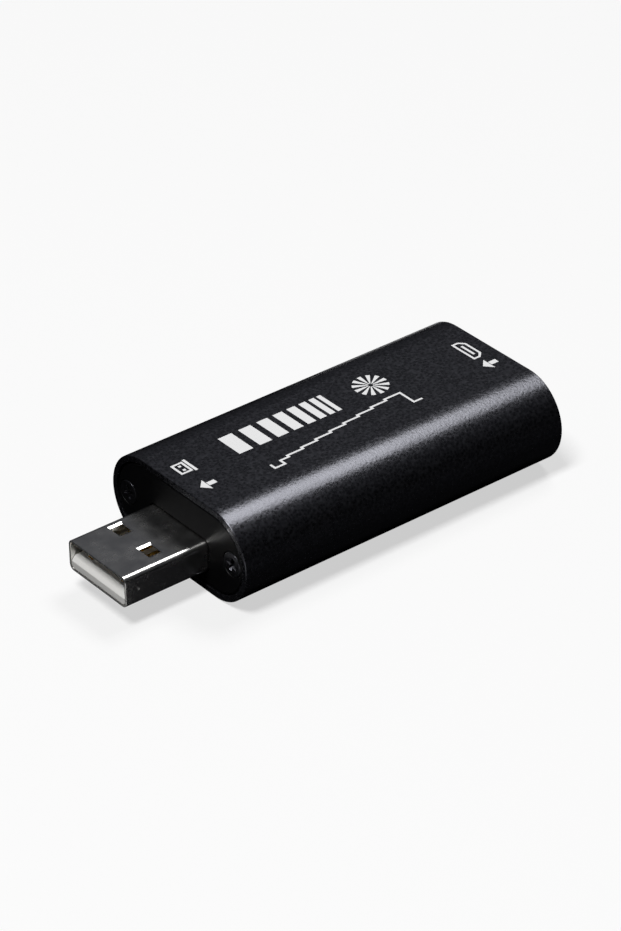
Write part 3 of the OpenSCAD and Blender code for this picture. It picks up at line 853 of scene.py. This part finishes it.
@dataclass
class EndScrews:
    """The two countersunk screws that hold one end plate.

    Attributes:
        end: The end of the stick.
        node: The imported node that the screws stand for.
        sides: Number of sides of a screw's round forms.
        rim: Rounding of the head's outer edge.
        rim_steps: Steps in which that rounding is drawn.
        head_edge: Height of the head's straight edge.
        core_d: Diameter at the root of the thread.
        thread_d: Diameter at the crest of the thread.
        pitch: Rise of the thread in one turn.
        rows_per_turn: Steps in which one turn of the thread is drawn.
        tip: Length of the blunt tip.
        recess_len: Length of each slot of the cross recess.
        recess_w: Width of each slot.
        recess_depth: Depth of the cross recess.
        recess_taper: Size of the recess at its bottom, as a share of its size at the face.
        head_turn: Turn of the first recess about the screw's axis.
        head_turn_step: Turn from the first recess to the second.
    """

    end: End
    node: str
    sides: int = 40
    rim: float = 0.15
    rim_steps: int = 3
    head_edge: float = 0.15
    core_d: float = 1.56
    thread_d: float = 2.0
    pitch: float = 0.4
    rows_per_turn: int = 8
    tip: float = 0.3
    recess_len: float = 1.95
    recess_w: float = 0.52
    recess_depth: float = 0.75
    recess_taper: float = 0.45
    head_turn: float = math.radians(20)
    head_turn_step: float = math.radians(55)

    def build(self) -> None:
        """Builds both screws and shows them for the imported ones."""
        low, high = (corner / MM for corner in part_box(self.node))
        head_r = (high.z - low.z) / 2
        spacing = high.y - low.y - 2 * head_r
        face_x = low.x if self.end is End.PLUG else high.x
        row = Row(
            count=2,
            first=(face_x, -spacing / 2, (low.z + high.z) / 2),
            step=(0.0, spacing, 0.0),
            turn=(self.head_turn, 0.0, self.end.value),
            turn_step=(self.head_turn_step, 0.0, 0.0),
        )
        mesh = row.build(self.screw(head_r, high.x - low.x), BLACK_OXIDE_STEEL)
        mesh.set_sharp_from_angle(angle=math.radians(CREASE_DEG))
        add_piece(f"{self.node}_threaded", mesh, BLACK_OXIDE_STEEL, self.node)

    def rings(self, head_r: float, length: float) -> list[Place]:
        """Works out the rings that a screw is drawn through.

        Args:
            head_r: Radius of the head.
            length: Length from the head's face to the tip.

        Returns:
            For each ring its place along the axis, its radius and the height of the thread on it.
        """
        core = self.core_d / 2
        depth = self.thread_d / 2 - core
        start = self.head_edge + head_r - core
        rings = []
        for step in range(self.rim_steps + 1):
            bend = step / self.rim_steps * math.pi / 2
            rings.append((self.rim * (1 - math.cos(bend)), head_r - self.rim * (1 - math.sin(bend)), 0.0))
        rings += [(self.head_edge, head_r, 0.0), (start, core, 0.0)]
        rows = round((length - self.tip - start) / self.pitch * self.rows_per_turn)
        for row in range(1, rows):
            fade = min(1.0, row / self.rows_per_turn, (rows - row) / self.rows_per_turn)
            rings.append((start + row / self.rows_per_turn * self.pitch, core, depth * fade))
        return rings + [(length - self.tip, core, 0.0), (length, core - self.tip, 0.0)]

    def screw(self, head_r: float, length: float) -> Mesh:
        """Builds one screw along X with the middle of its face at the origin.

        Args:
            head_r: Radius of the head.
            length: Length from the head's face to the tip.

        Returns:
            The screw's mesh.
        """
        bm = bmesh.new()
        angles = [math.tau * i / self.sides for i in range(self.sides)]
        forms = []
        for x, radius, crest in self.rings(head_r, length):
            phases = [(x / self.pitch - a / math.tau) % 1.0 for a in angles]
            radii = [radius + crest * (1 - abs(2 * phase - 1)) for phase in phases]
            forms.append([(x, r * math.cos(a), r * math.sin(a)) for r, a in zip(radii, angles)])
        loft(bm, forms)
        holder = new_object("screw", finished_mesh(bm, "screw"))
        cutter = new_object("cross_recess", self.recess())
        cut = holder.modifiers.new("cross recess", "BOOLEAN")
        cut.object = cutter
        cut.solver = "EXACT"
        cut.use_self = True
        mesh = plain_mesh(holder)
        bpy.data.objects.remove(cutter)
        return mesh

    def recess(self, over: float = 0.05) -> Mesh:
        """Builds the form that the driver's cross presses into a head.

        Args:
            over: How far it stands out of the head's face.

        Returns:
            Two crossed wedges that narrow with depth.
        """
        bm = bmesh.new()
        grow = 1 + over / self.recess_depth * (1 - self.recess_taper)
        for length, width in ((self.recess_len, self.recess_w), (self.recess_w, self.recess_len)):
            ends = ((-over, grow), (self.recess_depth, self.recess_taper))
            loft(bm, [[(x, *p) for p in rectangle(0, 0, length * s, width * s)] for x, s in ends])
        return finished_mesh(bm, "cross_recess")


@dataclass(frozen=True)
class Sign:
    """A printed sign at one end of the sleeve: a connector in outline with an arrow beside it.

    Attributes:
        name: The printed piece's name.
        outline: Corners of the outline around the sign's middle.
        marks: For each filled mark its middle in X and Y, its length and its width.
        arrow_y: Place of the arrow across the sleeve.
    """

    name: str
    outline: Sequence[Point]
    marks: Sequence[tuple[float, float, float, float]]
    arrow_y: float


@dataclass
class TopPrint:
    """White marks on the sleeve's flat top: test bars, a focus star, a staircase signal and end signs.

    Attributes:
        ink_t: Thickness of the ink.
        line: Width of the thin lines.
        block_setback: From the sleeve's plug end to the middle block of marks.
        bars: Number of test bars.
        bar_step: From the first bar to the second.
        bar_size: Width of the first bar, and length of all of them.
        bar_y: Place of the bars' middle.
        bar_taper: Share by which each next bar is narrower.
        star_r: Outer radius of the focus star.
        star_hub: Radius at which its wedges begin.
        star_wedges: Number of its wedges.
        star_place: From the sleeve's plug end, and across, to the star's middle.
        signal_levels: Heights of the signal's pulse, its rest and its top step.
        signal_pulse: Length of its pulse.
        signal_rest: Length of each stretch at rest.
        signal_steps: Number of steps of the staircase.
        signal_step: Length of one step.
        sign_setback: From the sleeve's end to the middle of the sign there.
        plug_sign: A plug with two holes in its shell and a collar behind it.
        socket_sign: A socket with two slanted corners and a tongue.
        arrow_half: Half the length and half the width of an arrow.
        arrow_gap: From an arrow's head to its shaft.
        shaft_w: Width of the shaft.
        start: Where the sleeve's plug end lies.
        film: Heights of the ink's underside and top.
    """

    ink_t: float = 0.02
    line: float = 0.32
    block_setback: float = 10.5
    bars: int = 8
    bar_step: float = 3.3
    bar_size: Point = (2.2, 4.6)
    bar_y: float = 2.9
    bar_taper: float = 0.1
    star_r: float = 2.5
    star_hub: float = 0.35
    star_wedges: int = 12
    star_place: Point = (34.0, 2.9)
    signal_levels: Place = (-4.9, -3.9, -1.0)
    signal_pulse: float = 1.6
    signal_rest: float = 1.4
    signal_steps: int = 8
    signal_step: float = 2.6
    sign_setback: float = 3.1
    plug_sign: Sign = Sign(
        "print_plug_sign",
        rectangle(-0.35, 2.6, 1.5, 2.2),
        ((-0.3, 2.1, 0.4, 0.4), (-0.3, 3.1, 0.4, 0.4), (0.95, 2.6, 0.4, 3.0)),
        -2.4,
    )
    socket_sign: Sign = Sign(
        "print_socket_sign",
        ((-0.8, -0.7), (0.1, -0.7), (0.8, 0.0), (0.8, 3.0), (0.1, 3.7), (-0.8, 3.7)),
        ((-0.025, 1.5, 0.35, 2.6),),
        -2.9,
    )
    arrow_half: float = 1.2
    arrow_gap: float = 0.1
    shaft_w: float = 0.8
    start: float = field(init=False)
    film: Point = field(init=False)

    def build(self) -> None:
        """Prints all the marks."""
        low, high = (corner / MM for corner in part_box("body_sleeve"))
        self.start = low.x
        self.film = (high.z, high.z + self.ink_t)
        self.build_bars()
        self.build_star()
        self.build_signal()
        self.build_sign(self.plug_sign, low.x + self.sign_setback)
        self.build_sign(self.socket_sign, high.x - self.sign_setback)

    def build_bars(self) -> None:
        """Prints the row of test bars, each narrower than the one before it."""
        bm = bmesh.new()
        prism(bm, rectangle(self.bar_size[0] / 2, self.bar_y, *self.bar_size), self.film)
        row = Row(self.bars, (self.start + self.block_setback, 0, 0), (self.bar_step, 0, 0), self.bar_taper)
        add_piece("print_test_bars", row.build(finished_mesh(bm, "bar"), SCREEN_INK), SCREEN_INK)

    def build_star(self) -> None:
        """Prints the focus star: wedges that narrow towards its middle."""
        bm = bmesh.new()
        half = math.pi / self.star_wedges / 2
        polar = [(self.star_r, half * share) for share in (-1, -0.5, 0, 0.5, 1)]
        polar += [(self.star_hub, half * share) for share in (1, -1)]
        prism(bm, [(r * math.cos(angle), r * math.sin(angle)) for r, angle in polar], self.film)
        x, y = self.star_place
        turn_step = (0.0, 0.0, math.tau / self.star_wedges)
        row = Row(self.star_wedges, (self.start + x, y, 0), (0, 0, 0), turn_step=turn_step)
        add_piece("print_focus_star", row.build(finished_mesh(bm, "wedge"), SCREEN_INK), SCREEN_INK)

    def build_signal(self) -> None:
        """Prints one line of a staircase test signal: a pulse, a rest and then equal steps."""
        pulse, rest, top = self.signal_levels
        runs = [(self.signal_rest, rest), (self.signal_pulse, pulse), (self.signal_rest, rest)]
        for step in range(1, self.signal_steps + 1):
            runs.append((self.signal_step, rest + (top - rest) * step / self.signal_steps))
        runs.append((self.signal_rest, rest))
        line = [(self.start + self.block_setback, rest)]
        for run, level in runs:
            line += [(line[-1][0], level), (line[-1][0] + run, level)]
        bm = bmesh.new()
        corners = [point for point, before in zip(line[1:], line) if point != before]
        stroke(bm, corners, self.line, self.film)
        add_piece("print_staircase_signal", finished_mesh(bm, "signal"), SCREEN_INK)

    def build_sign(self, sign: Sign, x: float) -> None:
        """Prints a sign and its arrow, which points along the signal, from the socket to the plug.

        Args:
            sign: The sign.
            x: Place of its middle.
        """
        bm = bmesh.new()
        stroke(bm, [(x + a, y) for a, y in sign.outline], self.line, self.film, closed=True)
        for a, y, length, width in sign.marks:
            prism(bm, rectangle(x + a, y, length, width), self.film)
        half, neck, y = self.arrow_half, x - self.arrow_gap, sign.arrow_y
        prism(bm, ((x - half, y), (neck, y - half), (neck, y + half)), self.film)
        prism(bm, rectangle(x + half / 2, y, half, self.shaft_w), self.film)
        add_piece(sign.name, finished_mesh(bm, sign.name), SCREEN_INK)


@dataclass
class Connector:
    """The folded shell of the plug or the socket, its moulded tongue and its contacts.

    Attributes:
        nodes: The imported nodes.
        end: The end of the stick.
        contacts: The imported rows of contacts.
        tongue_finish: The tongue's plastic.
        tongue_edge: Rounding of the tongue's front.
        tongue_reach: How far behind its front the tongue's edges are rounded.
        contact_edge: Rounding of the contacts.
        slope_deg: Bend from which an edge of the shell is sharp; a small one shows the slopes of windows.
        mouth_edge: Rounding of the mouth's edges.
        mouth_reach: How far behind the mouth the shell's edges are rounded.
    """

    nodes: Nodes
    end: End
    contacts: Sequence[str]
    tongue_finish: Finish
    tongue_edge: float
    tongue_reach: float
    contact_edge: float
    slope_deg: float = CREASE_DEG
    mouth_edge: float = 0.1
    mouth_reach: float = 0.01

    def build(self) -> None:
        """Builds the rounded shell and tongue and dresses the contacts."""
        kind = self.end.name.lower()
        shell, tongue = f"{kind}_shell", f"{kind}_insulator"
        mesh = self.rounded(shell, f"{shell}_folded", self.mouth_edge, self.mouth_reach, self.slope_deg)
        weigh_normals(add_piece(mesh.name, mesh, NICKEL_PLATE, shell))
        mesh = self.rounded(tongue, f"{kind}_tongue_moulded", self.tongue_edge, self.tongue_reach)
        weigh_normals(add_piece(mesh.name, mesh, self.tongue_finish, tongue))
        for name in self.contacts:
            dress(self.nodes[name], GOLD_PLATE, self.contact_edge)

    def rounded(
        self, node: str, name: str, width: float, reach: float, sharp_deg: float = CREASE_DEG
    ) -> Mesh:
        """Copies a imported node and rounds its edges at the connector's mouth.

        Args:
            node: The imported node.
            name: The copy's name.
            width: Width of the rounding.
            reach: How far behind the node's front edges are rounded.
            sharp_deg: Edges that bend more than this are drawn sharp.

        Returns:
            The rounded mesh.
        """
        low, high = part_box(node)
        front, inward = (low.x / MM, 1) if self.end is End.PLUG else (high.x / MM, -1)
        return rounded_copy(
            self.nodes[node], lambda middle: (middle.x - front) * inward < reach, width, name, sharp_deg
        )


@dataclass
class BoardAssembly:
    """The circuit board and the parts soldered to it.

    Attributes:
        nodes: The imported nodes.
        package_edge: Rounding of the moulded packages.
        can_edge: Rounding of the crystal's drawn can.
        board_edge: Rounding of the board's routed edges.
    """

    nodes: Nodes
    package_edge: float = 0.05
    can_edge: float = 0.15
    board_edge: float = 0.04

    def build(self) -> None:
        """Dresses the board and its parts, and rounds the edges of the larger ones."""
        looks = {
            "circuit_board": (BOARD_LAMINATE, self.board_edge),
            "capture_chip": (CHIP_EPOXY, self.package_edge),
            "capture_chip_pads": (TIN_PLATE,),
            "memory_chip": (CHIP_EPOXY, self.package_edge),
            "memory_chip_leads": (TIN_PLATE,),
            "crystal_can": (TIN_PLATE, self.can_edge),
            "crystal_base": (BLACK_LCP,),
            "crystal_leads": (TIN_PLATE,),
            "voltage_regulators": (CHIP_EPOXY,),
            "regulator_leads": (TIN_PLATE,),
            "capacitor_bodies": (FIRED_CERAMIC,),
            "capacitor_ends": (TIN_PLATE,),
            "resistor_bodies": (CHIP_EPOXY,),
            "resistor_ends": (TIN_PLATE,),
        }
        for name, look in looks.items():
            dress(self.nodes[name], *look)


# Studio


@dataclass(frozen=True)
class Lamp:
    """A soft lamp that faces the object.

    Attributes:
        name: The lamp's name.
        direction: From the object to the lamp.
        distance: From the object to the lamp.
        size: The lamp's two sides; the first lies along X as far as the lamp's tilt lets it.
        level: Irradiance that the lamp gives a surface that faces it.
    """

    name: str
    direction: Place
    distance: float
    size: Point
    level: float

    def build(self) -> None:
        """Hangs the lamp."""
        lamp = bpy.data.lights.new(self.name, "AREA")
        lamp.shape = "RECTANGLE"
        lamp.size = self.size[0] * MM
        lamp.size_y = self.size[1] * MM
        lamp.energy = self.level * math.pi * (self.distance * MM) ** 2
        back = Vector(self.direction).normalized()
        across = (Vector((1, 0, 0)) - back * back.x).normalized()
        axes = Matrix((across, back.cross(across), back)).transposed()
        place = Matrix.Translation(back * self.distance * MM)
        new_object(self.name, lamp).matrix_world = place @ axes.to_4x4()


@dataclass(frozen=True)
class Sheet:
    """A matt sheet that lies under the object.

    Attributes:
        name: The sheet's name.
        colour: Its colour as sRGB hex; on a sheet with painted shade, the lit colour in front of the stick.
        height: Its height.
        low: Its corner at the least X and Y.
        high: Its corner at the greatest X and Y.
        back: Painted shade: the darker colour that the sheet turns to behind the stick, if it has one, as
            sRGB hex.
        fade_half: Half the stretch along Y in which the lit colour turns to the painted shade.
        glow: Share of its brightness that the camera sees even in shadow.
    """

    name: str
    colour: str
    height: float
    low: Point = (-4000.0, -4000.0)
    high: Point = (4000.0, 4000.0)
    back: str | None = None
    fade_half: float = 25.0
    glow: float = 0.0

    def build(self) -> Object:
        """Lays the sheet.

        Returns:
            The sheet.
        """
        (x0, y0), (x1, y1) = self.low, self.high
        corners = [(x0, y0), (x1, y0), (x1, y1), (x0, y1)]
        mesh = bpy.data.meshes.new(self.name)
        mesh.from_pydata([(x * MM, y * MM, self.height * MM) for x, y in corners], [], [(0, 1, 2, 3)])
        mesh.materials.append(self.material())
        sheet = new_object(self.name, mesh)
        return sheet

    def material(self) -> Material:
        """Makes the sheet's matt material.

        Returns:
            The material.
        """
        material = bpy.data.materials.new(self.name)
        material.use_nodes = True
        tree = material.node_tree
        surface = {
            "Base Color": linear(self.colour, 1 - self.glow),
            "Roughness": 1.0,
            "Specular IOR Level": 0.0,
        }
        # Painted shade: the sheet turns from its lit colour in front of the stick to a darker one behind it.
        if self.back:
            surface["Base Color"] = self.fade(tree)
        if self.glow:
            seen = add_node(tree, "ShaderNodeLightPath").outputs["Is Camera Ray"]
            glow = add_node(tree, "ShaderNodeMath", {0: seen, 1: self.glow}, operation="MULTIPLY")
            surface["Emission Color"] = linear(self.colour)
            surface["Emission Strength"] = glow.outputs["Value"]
        feed(tree.nodes["Principled BSDF"], surface)
        return material

    def fade(self, tree: NodeTree) -> NodeSocket:
        """Adds painted light and shade: the lit colour in front of the stick turns darker behind it.

        Args:
            tree: The material's tree.

        Returns:
            The colour.
        """
        place = add_node(tree, "ShaderNodeTexCoord").outputs["Object"]
        depth = add_node(tree, "ShaderNodeSeparateXYZ", {"Vector": place}).outputs["Y"]
        fade = self.fade_half * MM
        share = add_node(tree, "ShaderNodeMapRange", {"Value": depth, "From Min": -fade, "From Max": fade})
        ends = {0: share.outputs["Result"], 6: linear(self.colour), 7: linear(self.back)}
        return add_node(tree, "ShaderNodeMix", ends, data_type="RGBA").outputs[2]


@dataclass
class Studio:
    """Pale floor, soft lamps and the camera of the photograph.

    Attributes:
        aim: The point that the camera looks at.
        azimuth_deg: The camera's turn about Z; at zero it looks along +Y.
        elevation_deg: The camera's height over the horizon.
        roll_deg: The camera's turn about its own axis.
        distance: From the aim to the camera.
        lens: Focal length.
        sensor: The camera's sensor along the picture's long side.
        near_limit: Distance before which the camera sees nothing.
        key: The lamp behind the stick that draws the gleam along the sleeve's near edge.
        overhead: The lamp above the plug that lights its mouth from above.
        room_colour: Tint of the room's light as sRGB hex.
        room_axis: Towards the room's bright side: up, and a little behind the stick.
        room_dark: Where the room turns dark, as the share of a direction that lies along that axis.
        room_level: Radiance of the room at its bright side.
        floor: The pale floor that the camera sees.
        mirrored: What the stick mirrors in the floor's place: a dark table with painted light and shade,
        lighter in front of the stick and darker behind it, a pale card that shows in the dimple of the
        plug's side, a grey one that shows in the edge of the plug's mouth, and a pale one that shows in
        the socket's shell.
    """

    aim: Place = (1.37, -0.16, 7.39)
    azimuth_deg: float = -38.574
    elevation_deg: float = 32.626
    roll_deg: float = 0.592
    distance: float = 475.1
    lens: float = 142.05
    sensor: float = 36.0
    near_limit: float = 10.0
    key: Lamp = Lamp("key", (0.475, 0.114, 0.872), 1500.0, (400.0, 720.0), 0.84)
    overhead: Lamp = Lamp("overhead", (-0.36, -0.10, 0.928), 1500.0, (500.0, 350.0), 2.35)
    room_colour: str = "#ecf0ff"
    room_axis: Place = (0.0, 0.4, 0.917)
    room_dark: float = -0.1
    room_level: float = 0.083
    floor: Sheet = Sheet("pale_paper_floor", "#ffffff", -0.02, glow=0.6)
    mirrored: tuple[Sheet, ...] = (
        # The dark table's two colours are painted light and shade: lighter in front of the stick, darker
        # behind it.
        Sheet("dark_table", "#202022", -0.01, back="#060607"),
        Sheet("pale_card", "#d4d4d4", -0.005, (-70.0, -60.0), (-31.2, -8.0)),
        Sheet("grey_card", "#808080", -0.005, (-37.6, -8.0), (-33.5, 16.0)),
        Sheet("socket_card", "#e4e4e4", -0.005, (38.0, -5.0), (120.0, 60.0)),
    )

    def build(self) -> None:
        """Builds the room, the floor, the lamps and the camera."""
        bpy.context.scene.view_settings.view_transform = "Standard"
        self.build_room()
        self.build_floor()
        for lamp in (self.key, self.overhead):
            lamp.build()
        self.build_camera()

    def build_room(self) -> None:
        """Makes a dim, slightly cool room that is darkest low down in front of the stick."""
        world = bpy.data.worlds.new("dim_room")
        world.use_nodes = True
        tree = world.node_tree
        ray = add_node(tree, "ShaderNodeTexCoord").outputs["Generated"]
        rise = add_node(
            tree, "ShaderNodeVectorMath", {0: ray, 1: self.room_axis}, operation="DOT_PRODUCT"
        ).outputs["Value"]
        level = add_node(
            tree, "ShaderNodeMapRange", {"Value": rise, "From Min": self.room_dark, "To Max": self.room_level}
        ).outputs["Result"]
        feed(tree.nodes["Background"], {"Color": linear(self.room_colour), "Strength": level})
        bpy.context.scene.world = world

    def build_floor(self) -> None:
        """Lays the pale floor that is seen, and the sheets that the stick mirrors."""
        floor = self.floor.build()
        floor.visible_diffuse = False
        floor.visible_glossy = False
        for mirrored in self.mirrored:
            sheet = mirrored.build()
            sheet.visible_camera = False
            sheet.visible_shadow = False

    def build_camera(self) -> None:
        """Sets the camera at the photograph's viewpoint."""
        turn, rise, roll = (math.radians(v) for v in (self.azimuth_deg, self.elevation_deg, self.roll_deg))
        axes = (
            Matrix.Rotation(turn, 3, "Z")
            @ Matrix.Rotation(math.pi / 2 - rise, 3, "X")
            @ Matrix.Rotation(-roll, 3, "Z")
        )
        camera = bpy.data.cameras.new("photograph")
        camera.sensor_width = self.sensor
        camera.lens = self.lens
        camera.clip_start = self.near_limit * MM
        holder = new_object("photograph", camera)
        place = Vector(self.aim) * MM + axes @ Vector((0, 0, self.distance * MM))
        holder.matrix_world = Matrix.Translation(place) @ axes.to_4x4()
        bpy.context.scene.camera = holder


def main() -> None:
    """Builds the sub-assemblies and the studio in order."""
    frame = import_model()
    nodes = frame["nodes"]
    assemblies = (
        Housing(nodes),
        EndScrews(End.PLUG, "plug_end_screws"),
        EndScrews(End.SOCKET, "socket_end_screws"),
        TopPrint(),
        Connector(
            nodes,
            End.PLUG,
            ("plug_contacts",),
            WHITE_PBT,
            tongue_edge=0.08,
            tongue_reach=1.0,
            contact_edge=0.04,
            slope_deg=17.0,
        ),
        Connector(
            nodes,
            End.SOCKET,
            ("socket_upper_contacts", "socket_lower_contacts"),
            BLACK_LCP,
            tongue_edge=0.05,
            tongue_reach=0.01,
            contact_edge=0.03,
        ),
        BoardAssembly(nodes),
    )
    for assembly in assemblies:
        assembly.build()
    Studio().build()


if __name__ == "__main__":
    logging.basicConfig(level=logging.INFO, format="%(name)s: %(message)s")
    main()
